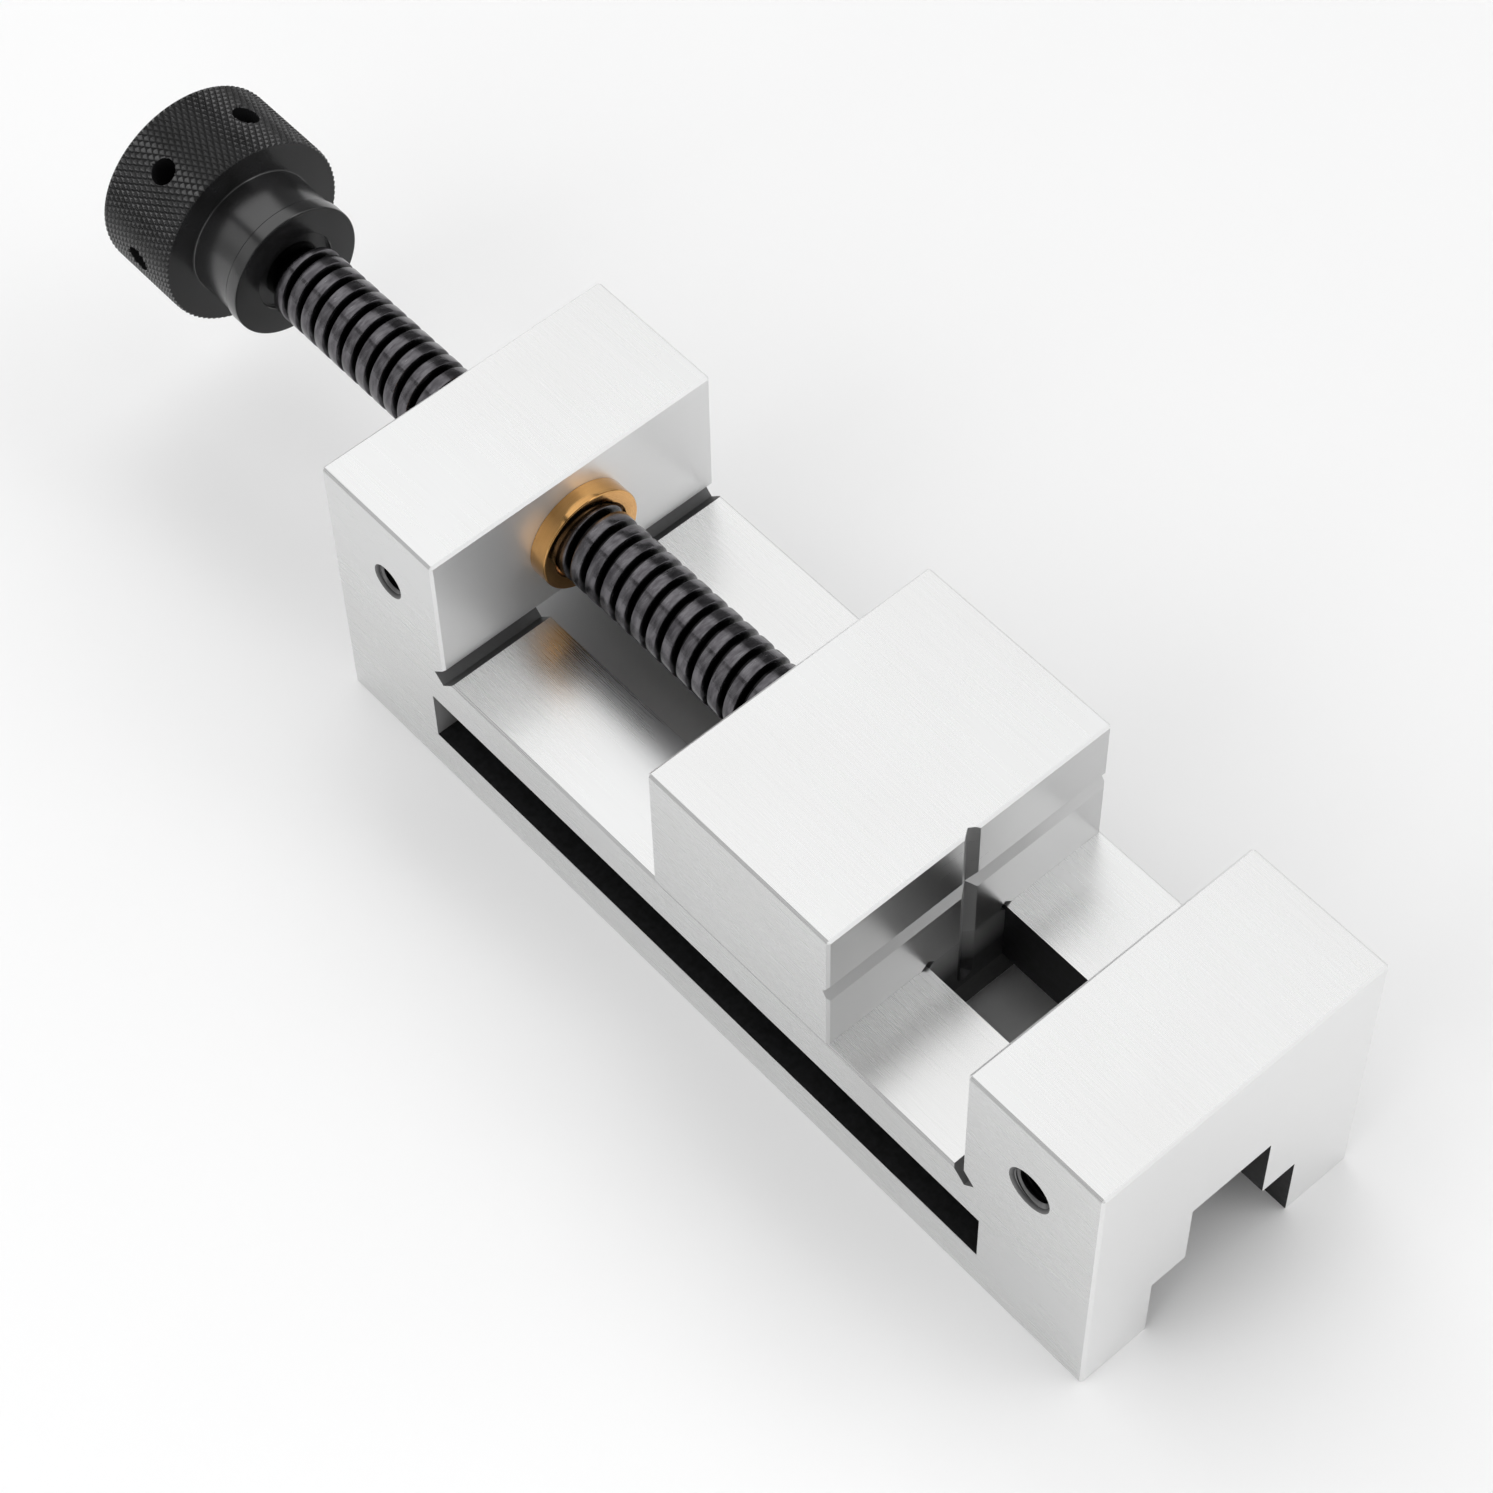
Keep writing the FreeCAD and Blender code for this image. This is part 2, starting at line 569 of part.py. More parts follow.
def make_knob():
    """Collar, hub and barrel, with tommy-bar holes round the barrel and a set screw hole."""
    collar = COLLAR_DIAMETER / 2
    hub = HUB_DIAMETER / 2
    barrel = BARREL_DIAMETER / 2
    knob = turned(
        [
            (KNOB_FRONT, collar - COLLAR_EDGE_BREAK),
            (KNOB_FRONT + COLLAR_EDGE_BREAK, collar),
            (HUB_START - COLLAR_EDGE_BREAK, collar),
            (HUB_START, collar - COLLAR_EDGE_BREAK),
            (HUB_START, hub),
            (BARREL_START, hub),
            (BARREL_START, barrel - COLLAR_EDGE_BREAK),
            (BARREL_START + COLLAR_EDGE_BREAK, barrel),
            (KNOB_REAR - BARREL_EDGE_BREAK, barrel),
            (KNOB_REAR, barrel - BARREL_EDGE_BREAK),
        ]
    )
    seat = KNOB_SEAT_DIAMETER / 2 + SEAT_CLEARANCE
    dish = DISH_DIAMETER / 2
    cuts = [
        bored(seat, KNOB_FRONT - PAST, KNOB_REAR + PAST),
        bored(COLLAR_RECESS_DIAMETER / 2, KNOB_FRONT - PAST, SEAT_START),
        turned([(KNOB_REAR - DISH_DEPTH, dish - DISH_DEPTH), (KNOB_REAR, dish)]),
        radial_rod(KNOB_LOCK_X, KNOB_LOCK_ANGLE, SET_SCREW_DIAMETER / 2 + SEAT_CLEARANCE, 0, barrel),
    ]
    for index in range(TOMMY_HOLE_COUNT):
        angle = KNOB_TURN_AT_REST + 360 / TOMMY_HOLE_COUNT * index
        floor = barrel - TOMMY_HOLE_DEPTH
        cuts.append(radial_rod(BARREL_MIDDLE, angle, TOMMY_HOLE_DIAMETER / 2, floor, barrel + PAST))
    return knob.cut(cuts)


def make_nut_lock_screw():
    """The set screw that comes up from the channel against the nut bush."""
    tip = Vector(NUT_LOCK_X, 0, NUT_LOCK_TIP)
    return set_screw(tip, UP * -1, NUT_LOCK_SCREW_LENGTH)


def make_knob_lock_screw():
    """The set screw through the hub onto the flat of the spindle."""
    outwards = radial(KNOB_LOCK_ANGLE)
    tip = Vector(KNOB_LOCK_X, 0, SCREW_AXIS_HEIGHT) + outwards * (KNOB_FLAT_RADIUS + SEAT_CLEARANCE)
    return set_screw(tip, outwards, KNOB_LOCK_SCREW_LENGTH)


PIECES = {
    "body": make_body,
    "movable_jaw": make_movable_jaw,
    "keeper_plate": make_keeper_plate,
    "keeper_screws": make_keeper_screws,
    "keeper_washers": make_keeper_washers,
    "thrust_disc": make_thrust_disc,
    "capture_pins": make_capture_pins,
    "lead_screw": make_lead_screw,
    "screw_nut": make_screw_nut,
    "nut_lock_screw": make_nut_lock_screw,
    "knob": make_knob,
    "knob_lock_screw": make_knob_lock_screw,
}

os.makedirs("parts", exist_ok=True)
for name, make in PIECES.items():
    shape = make()
    shape.exportStep(f"parts/{name}.step")
    print(name, "solids", len(shape.Solids), "valid", shape.isValid(), "volume", round(shape.Volume))
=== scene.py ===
"""Looks of the precision vise: threads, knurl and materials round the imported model.

Shapes are written in millimetres and made in metres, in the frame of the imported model.
"""

import math

import bmesh
import bpy
from mathutils import Matrix, Vector


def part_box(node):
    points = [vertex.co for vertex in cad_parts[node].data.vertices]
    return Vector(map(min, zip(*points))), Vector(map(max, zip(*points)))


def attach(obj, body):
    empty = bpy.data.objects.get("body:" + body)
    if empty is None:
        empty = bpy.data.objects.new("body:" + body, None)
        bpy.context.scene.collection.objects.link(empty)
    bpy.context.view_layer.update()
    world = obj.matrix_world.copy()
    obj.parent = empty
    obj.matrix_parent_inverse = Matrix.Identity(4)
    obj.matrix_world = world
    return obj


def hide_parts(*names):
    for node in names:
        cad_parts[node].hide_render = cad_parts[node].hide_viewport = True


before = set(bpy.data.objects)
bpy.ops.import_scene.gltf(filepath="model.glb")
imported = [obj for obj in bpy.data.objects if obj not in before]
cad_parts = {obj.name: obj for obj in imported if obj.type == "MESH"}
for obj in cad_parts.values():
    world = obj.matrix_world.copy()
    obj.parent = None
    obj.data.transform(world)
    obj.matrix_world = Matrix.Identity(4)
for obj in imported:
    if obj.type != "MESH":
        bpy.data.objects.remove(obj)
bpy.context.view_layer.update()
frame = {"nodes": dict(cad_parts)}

MM = 0.001
SCREW_LOW, SCREW_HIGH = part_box("lead_screw")
AXIS_HEIGHT = (SCREW_LOW.z + SCREW_HIGH.z) / 2 / MM
SCREW_AXIS = Matrix.Translation((0, 0, AXIS_HEIGHT))

# Corners round a circle, where they aren't the 128 of a lathe or the 72 of a thread
BARREL_SEGMENTS = 180
SLEEVE_SEGMENTS = 72
SMALL_SEGMENTS = 48

# Body
BODY_LENGTH = 192.0
HALF_WIDTH = 31.5
BED_HEIGHT = 31.3
FIXED_JAW_FACE = 30.0
BOSS_FACE = 162.0

# Painted shade in the hollows: how far it stays off outer faces, and where it is, as (least, most)
SHADE_INSET = 0.05
CHANNEL_HALF_WIDTH = 16.75
CHANNEL_Z = (0.02, 16.05)
SLOT_HALF_WIDTH = 9.02
SLOT_Z = (15.9, 31.9)
GROOVE_X = (25.38, 166.62)
GROOVE_Y = (23.4, 31.45)
GROOVE_Z = (9.28, 21.32)
GROOVE_END_FADE = (23.5, 30.5)
RELIEF_ALONG = (-1.48, 2.6)
RELIEF_ACROSS = (-1.53, 1.53)
TONGUE_HALF_WIDTH = 9.1
TONGUE_FADE = (22.0, 33.0)
HOLE_FADE = (30.9, 31.49)

# How strong the painted shade is where it isn't full
GROOVE_MOUTH_SHARE = 0.35
RELIEF_SHARE = 0.85
HOLE_MOUTH_SHARE = 0.75

# Tapped side holes: name, place along X, outer and inner radius, pitch, depth, thread's start
SIDE_HOLE_HEIGHT = 46.0
SIDE_HOLES = (
    ("jaw", 15.2, 4.0, 3.4, 1.25, 17.6, 0.605),
    ("boss", 175.9, 3.0, 2.5, 1.0, 13.7, 0.655),
)
COUNTERSINK_WIDTH = 0.75
SLEEVE_WALL = 0.1
SLEEVE_GAP = 0.005
TAP_GAP = 0.04
TAP_FOOT = (0.0, 0.2, 0.87)
TAP_CREST = (0.47, 0.60)

# Lead screw
THREAD_PITCH = 4.0
THREAD_DEPTH = 1.75
THREAD_CREST_WIDTH = 2.3
THREAD_FLANK_ANGLE = 15.0
CREST_RADIUS = 7.65
CREST_AT_REST = 1.65
THREAD_START = 106.5
THREAD_START_RADIUS = 6.05
THREAD_RUN_IN = 1.6
THREAD_END = 239.3
SCREW_CHAMFER = 0.8
RELIEF_RADIUS = 5.8
SCREW_TIP = 85.02
SCREW_END = 274.5
JOURNAL_RADIUS = 5.0
SEAT_RADIUS = 6.0
SEAT_START = 243.2
PIN_GROOVE_X = 92.0
PIN_GROOVE_HALF_WIDTH = 2.05
PIN_GROOVE_RADIUS = 3.2
CENTRE_HOLE = ((-4.5, 0.1), (-2.6, 0.5), (0.3, 1.62))
FLAT_HEIGHT = 5.6

# Nut
FLANGE_START = 158.2
FLANGE_END = 161.98
FLANGE_RADIUS = 10.7
NUT_END = 191.5
NUT_RADIUS = 9.985
NUT_THREAD_CLEARANCE = 0.1
NUT_CUTTER_X = (150, 200)
FRONT_MOUTH = ((157.5, 8.9), (158.2, 8.2), (158.9, 7.5), (159.3, 7.1))
REAR_MOUTH = ((190.4, 7.2), (190.8, 7.7), (191.5, 8.4), (192.2, 9.1))

# Knob
KNOB_FRONT = 242.2
HUB_START = 245.2
BARREL_START = 255.3
KNOB_REAR = 275.1
KNOB_TURN = -3.2
COLLAR_RADIUS = 13.9
HUB_RADIUS = 13.4
HUB_FOOT_RADIUS = 14.6
BARREL_RADIUS = 19.6
ENVELOPE_RADIUS = 19.7
FRONT_CHAMFER = 0.4
REAR_CHAMFER = 0.6
RECESS_RADIUS = 8.3
DISH_DEPTH = 1.2
DISH_RADIUS = 11.8
SET_SCREW_X = 250.25
SET_SCREW_ANGLE = KNOB_TURN - 90
SET_HOLE_RADIUS = 2.51
TOMMY_HOLES = 6
TOMMY_OUTLINE = ((8.6, 2.6), (19.15, 2.6), (19.75, 3.15), (21, 4.2))
KNURL_STARTS = 90
KNURL_ANGLE = 30.0
KNURL_DEPTH = 0.48
KNURL_FLANK = 0.47
# Radii where the painted shade of the knurl's valleys fades out
KNURL_SHADE_FADE = (19.12, 19.38)


def new_object(name, vertices, faces):
    """An object from corners in millimetres, scaled to metres."""
    mesh = bpy.data.meshes.new(name)
    mesh.from_pydata([Vector(corner) * MM for corner in vertices], [], faces)
    mesh.validate()
    made = bpy.data.objects.new(name, mesh)
    bpy.context.scene.collection.objects.link(made)
    build = bmesh.new()
    build.from_mesh(mesh)
    bmesh.ops.recalc_face_normals(build, faces=build.faces)
    build.to_mesh(mesh)
    build.free()
    return made


def lathe(name, outline, place=SCREW_AXIS, segments=128, ring=False):
    """A solid turned about X from (x, radius) pairs; a ring's outline closes on itself."""
    vertices, faces = [], []
    for x, radius in outline:
        for step in range(segments):
            turn = 2 * math.pi * step / segments
            point = Vector((x, radius * math.cos(turn), radius * math.sin(turn)))
            vertices.append(place @ point)
    rows = len(outline)
    for row in range(rows if ring else rows - 1):
        after = (row + 1) % rows
        for step in range(segments):
            beside = (step + 1) % segments
            faces.append((row * segments + step, row * segments + beside,
                          after * segments + beside, after * segments + step))
    if not ring:
        for row in (0, rows - 1):
            vertices.append(place @ Vector((outline[row][0], 0, 0)))
            centre = len(vertices) - 1
            for step in range(segments):
                beside = (step + 1) % segments
                faces.append((row * segments + step, row * segments + beside, centre))
    return new_object(name, vertices, faces)


def rounded(outline, steps=4):
    """Round an outline of (x, radius, rounding) triples into (x, radius) pairs.

    The first and the last corner stay sharp: they only lead to the solid's end faces.
    """
    made = []
    for index, (x, radius, rounding) in enumerate(outline):
        if not rounding or index in (0, len(outline) - 1):
            made.append((x, radius))
            continue
        corner = Vector((x, radius))
        before = Vector(outline[index - 1][:2]) - corner
        after = Vector(outline[index + 1][:2]) - corner
        start = corner + before.normalized() * rounding
        end = corner + after.normalized() * rounding
        for step in range(steps + 1):
            share = step / steps
            point = start.lerp(corner, share).lerp(corner.lerp(end, share), share)
            made.append((point.x, point.y))
    return made


def helical(name, pitch, start, end, profile, place=SCREW_AXIS, segments=72):
    """A right-hand threaded rod along X, longer than start to end by a turn each way."""
    count = len(profile)
    first = math.floor(start / pitch) - 2
    turns = math.ceil(end / pitch) + 1 - first
    rows = count * turns + 1
    vertices, faces = [], []
    for row in range(rows):
        along, radius = profile[row % count]
        base = (first + row // count) * pitch + along
        for step in range(segments):
            share = step / segments
            turn = 2 * math.pi * share
            point = (base + pitch * share, radius * math.cos(turn), radius * math.sin(turn))
            vertices.append(place @ Vector(point))
    for row in range(rows - 1):
        for step in range(segments - 1):
            corner = row * segments + step
            faces.append((corner, corner + 1, corner + segments + 1, corner + segments))
        if row + 1 + count < rows:
            corner = row * segments + segments - 1
            beside = (row + count) * segments
            faces.append((corner, beside, beside + segments, corner + segments))
    low_loop = list(range(segments))
    low_loop += [row * segments for row in range(count, 0, -1)]
    high_loop = [(rows - 1) * segments + step for step in range(segments)]
    high_loop += [row * segments + segments - 1 for row in range(rows - 2, rows - 2 - count, -1)]
    for loop, turn in ((low_loop, first), (high_loop, first + turns)):
        vertices.append(place @ Vector(((turn + 0.5) * pitch, 0, 0)))
        centre = len(vertices) - 1
        for one, other in zip(loop, loop[1:] + loop[:1]):
            faces.append((one, other, centre))
    return new_object(name, vertices, faces)


def knurled_tube(start, end, radius):
    """Corners and faces of an open tube with raised diamonds, longer than start to end."""
    tile = 2 * math.pi * radius / KNURL_STARTS
    rise = tile / (2 * math.tan(math.radians(KNURL_ANGLE)))
    columns = math.ceil((end - start) / rise) + 4
    vertices, faces, known = [], [], {}

    def corner(a, b, low):
        """The number of a lattice point, which is one point however far round it is written."""
        lap = math.floor((a + b) / 2 / KNURL_STARTS + 1e-6)
        a_key, b_key = round(a, 4), round(b, 4)
        key = (round(a_key - lap * KNURL_STARTS, 4), round(b_key - lap * KNURL_STARTS, 4))
        if key not in known:
            turn = (a + b) * math.pi / KNURL_STARTS
            reach = radius - (KNURL_DEPTH if low else 0)
            x = start + (a - b - 2) * rise
            point = Vector((x, reach * math.cos(turn), reach * math.sin(turn)))
            vertices.append(SCREW_AXIS @ point)
            known[key] = len(vertices) - 1
        return known[key]

    inner = KNURL_FLANK
    outer = 1 - KNURL_FLANK
    for total in range(2 * KNURL_STARTS):
        for apart in range(columns):
            if (total + apart) % 2:
                continue
            a, b = (total + apart) // 2, (total - apart) // 2
            low = [corner(a, b, True), corner(a + 1, b, True),
                   corner(a + 1, b + 1, True), corner(a, b + 1, True)]
            top = [corner(a + inner, b + inner, False), corner(a + outer, b + inner, False),
                   corner(a + outer, b + outer, False), corner(a + inner, b + outer, False)]
            faces.append(tuple(top))
            for side in range(4):
                after = (side + 1) % 4
                faces.append((low[side], low[after], top[after], top[side]))
    return vertices, faces


def closed_by_fans(name, vertices, faces, ends):
    """Close an open tube's two rims with a fan each to a point on the axis."""
    made = new_object(name, vertices, faces)
    build = bmesh.new()
    build.from_mesh(made.data)
    rim = [edge for edge in build.edges if len(edge.link_faces) == 1]
    middle = sum(ends) / 2 * MM
    for x in ends:
        tip = build.verts.new((SCREW_AXIS @ Vector((x, 0, 0))) * MM)
        for edge in rim:
            if (edge.verts[0].co.x < middle) == (x * MM < middle):
                build.faces.new((edge.verts[0], edge.verts[1], tip))
    bmesh.ops.recalc_face_normals(build, faces=build.faces)
    build.to_mesh(made.data)
    build.free()
    return made


def combine(target, others, operation):
    """Apply a boolean of each other solid to the target, and remove the others."""
    for other in others:
        modifier = target.modifiers.new("boolean", "BOOLEAN")
        modifier.operation = operation
        modifier.solver = "MANIFOLD"
        modifier.object = other
        shown = target.evaluated_get(bpy.context.evaluated_depsgraph_get())
        mesh = bpy.data.meshes.new_from_object(shown)
        target.modifiers.clear()
        old = target.data
        target.data = mesh
        bpy.data.meshes.remove(old)
        gone = other.data
        bpy.data.objects.remove(other)
        bpy.data.meshes.remove(gone)
    return target


def finish_shape(made, sharp_degrees):
    """Merge doubled corners, drop flaps of two equal faces, and smooth between sharp edges."""
    build = bmesh.new()
    build.from_mesh(made.data)
    bmesh.ops.remove_doubles(build, verts=build.verts, dist=2e-6)
    bmesh.ops.dissolve_degenerate(build, edges=build.edges, dist=1e-7)
    bmesh.ops.triangulate(build, faces=[face for face in build.faces if len(face.verts) > 4])
    build.verts.index_update()
    same = {}
    for face in build.faces:
        same.setdefault(frozenset(corner.index for corner in face.verts), []).append(face)
    flaps = [face for faces in same.values() if len(faces) > 1 for face in faces]
    bmesh.ops.delete(build, geom=flaps, context="FACES")
    limit = math.radians(sharp_degrees)
    for face in build.faces:
        face.smooth = True
    for edge in build.edges:
        edge.smooth = len(edge.link_faces) == 2 and edge.calc_face_angle(0) < limit
    build.to_mesh(made.data)
    build.free()


def radial_place(x, degrees):
    """A placement whose X axis points away from the screw axis at an angle from +Y to +Z."""
    turn = math.radians(degrees)
    outwards = Vector((0, math.cos(turn), math.sin(turn)))
    sideways = Vector((1, 0, 0))
    third = outwards.cross(sideways)
    rotation = Matrix((outwards, sideways, third)).transposed().to_4x4()
    return Matrix.Translation((x, 0, AXIS_HEIGHT)) @ rotation


def block(name, low, high, place):
    """A box between two corners, as a cutter."""
    vertices = [place @ Vector((x, y, z)) for x in (low[0], high[0])
                for y in (low[1], high[1]) for z in (low[2], high[2])]
    faces = [(0, 1, 3, 2), (4, 6, 7, 5), (0, 4, 5, 1), (2, 3, 7, 6), (0, 2, 6, 4), (1, 5, 7, 3)]
    return new_object(name, vertices, faces)


def make_lead_screw():
    """The lead screw with its thread, thrust end, knob seat and centre hole."""
    thread = helical("lead_screw_threaded", THREAD_PITCH, THREAD_START, THREAD_END,
                     thread_profile())
    envelope = lathe("envelope", rounded([
        (THREAD_START, 4.9, 0), (THREAD_START, THREAD_START_RADIUS, 0.1),
        (THREAD_START + THREAD_RUN_IN, CREST_RADIUS, 0.3),
        (THREAD_END - 0.5, CREST_RADIUS, 0.2), (THREAD_END, CREST_RADIUS - SCREW_CHAMFER, 0.2),
        (THREAD_END, 5, 0)]))
    combine(thread, [envelope], "INTERSECT")
    groove_start = PIN_GROOVE_X - PIN_GROOVE_HALF_WIDTH
    groove_end = PIN_GROOVE_X + PIN_GROOVE_HALF_WIDTH
    journal = lathe("journal", rounded([
        (SCREW_TIP, JOURNAL_RADIUS - SCREW_CHAMFER, 0),
        (SCREW_TIP + SCREW_CHAMFER, JOURNAL_RADIUS, 0.2),
        (groove_start, JOURNAL_RADIUS, 0.15), (groove_start, PIN_GROOVE_RADIUS, 0.25),
        (groove_end, PIN_GROOVE_RADIUS, 0.25), (groove_end, JOURNAL_RADIUS, 0.15),
        (THREAD_START + 3, JOURNAL_RADIUS, 0)]))
    seat = lathe("seat", rounded([
        (THREAD_END - 1, 5.0, 0), (THREAD_END - 0.2, RELIEF_RADIUS, 0),
        (SEAT_START, RELIEF_RADIUS, 0), (SEAT_START, SEAT_RADIUS, 0),
        (SCREW_END - SCREW_CHAMFER, SEAT_RADIUS, 0.2),
        (SCREW_END, SEAT_RADIUS - SCREW_CHAMFER, 0.15), (SCREW_END, 4, 0)]))
    combine(thread, [journal, seat], "UNION")
    hole = lathe("centre_hole", [(SCREW_END + x, radius) for x, radius in CENTRE_HOLE])
    flat = block("flat", (FLAT_HEIGHT, -5, -9), (9, 5, 9),
                 radial_place(SET_SCREW_X, SET_SCREW_ANGLE))
    return combine(thread, [hole, flat], "DIFFERENCE")


def thread_profile(clearance=0.0):
    """One turn from root to root as (place along it, radius) pairs, grown for the nut."""
    crest = CREST_RADIUS + clearance
    root = crest - THREAD_DEPTH
    crest_half = THREAD_CREST_WIDTH / 2 + clearance
    foot_half = crest_half + THREAD_DEPTH * math.tan(math.radians(THREAD_FLANK_ANGLE))
    outline = rounded([
        (-THREAD_PITCH / 2, root, 0), (-foot_half, root, 0.12), (-crest_half, crest, 0.14),
        (0, crest, 0), (crest_half, crest, 0.14), (foot_half, root, 0.12),
        (THREAD_PITCH / 2, root, 0)], steps=2)
    return [(CREST_AT_REST + along, radius) for along, radius in outline[:-1]]


def make_nut():
    """The flanged bush, with the internal thread that the screw runs in."""
    nut = lathe("nut_flanged", rounded([
        (FLANGE_START, 5, 0), (FLANGE_START, FLANGE_RADIUS, 0.3), (FLANGE_END, FLANGE_RADIUS, 0.1),
        (FLANGE_END, NUT_RADIUS, 0.05), (NUT_END, NUT_RADIUS, 0.15), (NUT_END, 5, 0)]))
    thread = helical("nut_cutter", THREAD_PITCH, *NUT_CUTTER_X,
                     thread_profile(NUT_THREAD_CLEARANCE))
    front = lathe("front_mouth", FRONT_MOUTH)
    rear = lathe("rear_mouth", REAR_MOUTH)
    return combine(nut, [thread, front, rear], "DIFFERENCE")


def make_knob():
    """The knurled barrel with its tommy holes, the hub and the collar."""
    knob = closed_by_fans("knob_knurled", *knurled_tube(BARREL_START, KNOB_REAR, BARREL_RADIUS),
                          (BARREL_START - 1, KNOB_REAR + 1))
    envelope = lathe("barrel", rounded([
        (BARREL_START, 10, 0), (BARREL_START, ENVELOPE_RADIUS - FRONT_CHAMFER, 0.25),
        (BARREL_START + FRONT_CHAMFER, ENVELOPE_RADIUS, 0.1),
        (KNOB_REAR - REAR_CHAMFER, ENVELOPE_RADIUS, 0.1),
        (KNOB_REAR, ENVELOPE_RADIUS - REAR_CHAMFER, 0.3), (KNOB_REAR, 10, 0)]),
        segments=BARREL_SEGMENTS)
    combine(knob, [envelope], "INTERSECT")
    hub = lathe("hub", rounded([
        (KNOB_FRONT, 5, 0), (KNOB_FRONT, COLLAR_RADIUS, 0.35), (HUB_START, COLLAR_RADIUS, 0.35),
        (HUB_START, HUB_RADIUS, 0.12), (BARREL_START, HUB_RADIUS, 0.4),
        (BARREL_START + 0.01, HUB_FOOT_RADIUS, 0), (BARREL_START + 2, HUB_FOOT_RADIUS, 0),
        (BARREL_START + 2, 5, 0)]))
    combine(knob, [hub], "UNION")
    bore_radius = SEAT_RADIUS + 0.01
    cutters = [
        lathe("seat_bore", [(KNOB_FRONT - 1, bore_radius), (KNOB_REAR + 1, bore_radius)]),
        lathe("recess", rounded([
            (KNOB_FRONT - 1, 9.2, 0), (KNOB_FRONT, 8.42, 0), (KNOB_FRONT + 0.15, RECESS_RADIUS, 0),
            (SEAT_START, RECESS_RADIUS, 0.2), (SEAT_START, 5, 0)])),
        lathe("dish", rounded([
            (KNOB_REAR - DISH_DEPTH, 5, 0), (KNOB_REAR - DISH_DEPTH, DISH_RADIUS, 0.3),
            (KNOB_REAR, 13, 0), (KNOB_REAR + 0.5, 13.5, 0), (KNOB_REAR + 0.5, 5, 0)])),
        lathe("set_hole", [(3, SET_HOLE_RADIUS), (16, SET_HOLE_RADIUS)],
              radial_place(SET_SCREW_X, SET_SCREW_ANGLE), SMALL_SEGMENTS),
    ]
    for index in range(TOMMY_HOLES):
        degrees = KNOB_TURN + 360 // TOMMY_HOLES * index
        place = radial_place((BARREL_START + KNOB_REAR) / 2, degrees)
        cutters.append(lathe("tommy_hole", TOMMY_OUTLINE, place, SMALL_SEGMENTS))
    return combine(knob, cutters, "DIFFERENCE")


def side_hole_thread(name, side, x, major, minor, pitch, depth, start):
    """The cut thread inside a tapped side hole, behind its countersink."""
    rotation = Matrix(((0, 0, 1), (-side, 0, 0), (0, -side, 0))).to_4x4()
    place = Matrix.Translation((x, side * HALF_WIDTH, SIDE_HOLE_HEIGHT)) @ rotation
    outside = major - SLEEVE_GAP
    inside = minor - SLEEVE_WALL
    sleeve = lathe(name, [
        (start, outside), (depth, outside), (depth, inside), (start + outside - inside, inside),
    ], place, SLEEVE_SEGMENTS, ring=True)
    profile = [(share * pitch, minor) for share in TAP_FOOT]
    profile += [(share * pitch, major - TAP_GAP) for share in TAP_CREST]
    cutter = helical("tap", pitch, -1, depth + 1, sorted(profile), place, SMALL_SEGMENTS)
    return combine(sleeve, [cutter], "DIFFERENCE")


def grey(value, tint=(1.0, 1.0, 1.0)):
    """A grey in linear light, with its alpha."""
    return (value * tint[0], value * tint[1], value * tint[2], 1.0)


BLACK = grey(0.0)

# Ground steel: its colours, and what share of them each kind of face takes
STEEL_DARKER = grey(0.765, (1.0, 1.0, 0.995))
STEEL_LIGHTER = grey(0.805, (0.995, 1.0, 1.0))
STEEL_LINES, LINES_SHARE = grey(0.64), 0.045
# Painted shade: the sides are darkened
SIDES_PAINTED_SHADE, SIDES_SHARE = grey(0.30), 0.14
# Painted light: the ends are lightened
ENDS_PAINTED_LIGHT, ENDS_SHARE = grey(0.90), 0.6
# Painted shade on the jaw's clamping face, which is also polished
CLAMPING_PAINTED_SHADE, CLAMPING_SHARE = grey(0.40), 0.5
# Painted shade in the hollows: near black colours, as if no light reached them
PAINTED_SHADE_DARKER = grey(0.018)
PAINTED_SHADE_LIGHTER = grey(0.032, (1.0, 1.0, 1.08))
STEEL_ROUGHNESS = (0.25, 0.30)
ENDS_ROUGHNESS = 0.15
CLAMPING_POLISH = 0.13
PAINTED_SHADE_ROUGHNESS = 0.16
ENDS_MATT = 0.25
PAINTED_SHADE_MATT = 0.35
FLANK_MATT = 0.45

# Black oxide: its gloss, the painted shade that dims it in the knurl's valleys and holes and on
# the end faces, and its colours
OXIDE_GLOSS = 0.94
VALLEY_SHADE_DIMMING = 0.44
ENDS_SHADE_DIMMING = 0.66
OXIDE_DARKER = grey(0.008)
OXIDE_LIGHTER = grey(0.014, (1.0, 1.0, 1.06))

# Worn thread with painted shade in its roots: where the wear and the shade change over, how uneven
# that is, and its colours
WEAR_AND_SHADE_RADII = (6.9, 7.7)
WEAR_AND_SHADE_UNEVEN = 0.8
THREAD_ROOT_SHADE = grey(0.016)
THREAD_CREST_DARKER = grey(0.10, (1.0, 0.95, 1.04))
THREAD_CREST_LIGHTER = grey(0.16, (1.0, 0.97, 1.03))

# Bronze
BRONZE_DARKER = (0.51, 0.27, 0.092, 1)
BRONZE_LIGHTER = (0.62, 0.35, 0.13, 1)
BRONZE_LINES = (0.33, 0.17, 0.055, 1)

# Tapped holes: painted shade, how deep it darkens them, and how uneven that is
TAPPED_SHADE_FADE = (1.0, 2.6)
TAPPED_SHADE_UNEVEN = 0.6

# Textures: the range that noise mostly keeps to, its scale across fine lines and along them,
# and how much of a normal lies along an axis where a face counts as looking that way
NOISE_SPREAD = (0.3, 0.7)
LINE_SCALE = 5200.0
GRAIN_SCALE = 50.0
FACING = 0.7


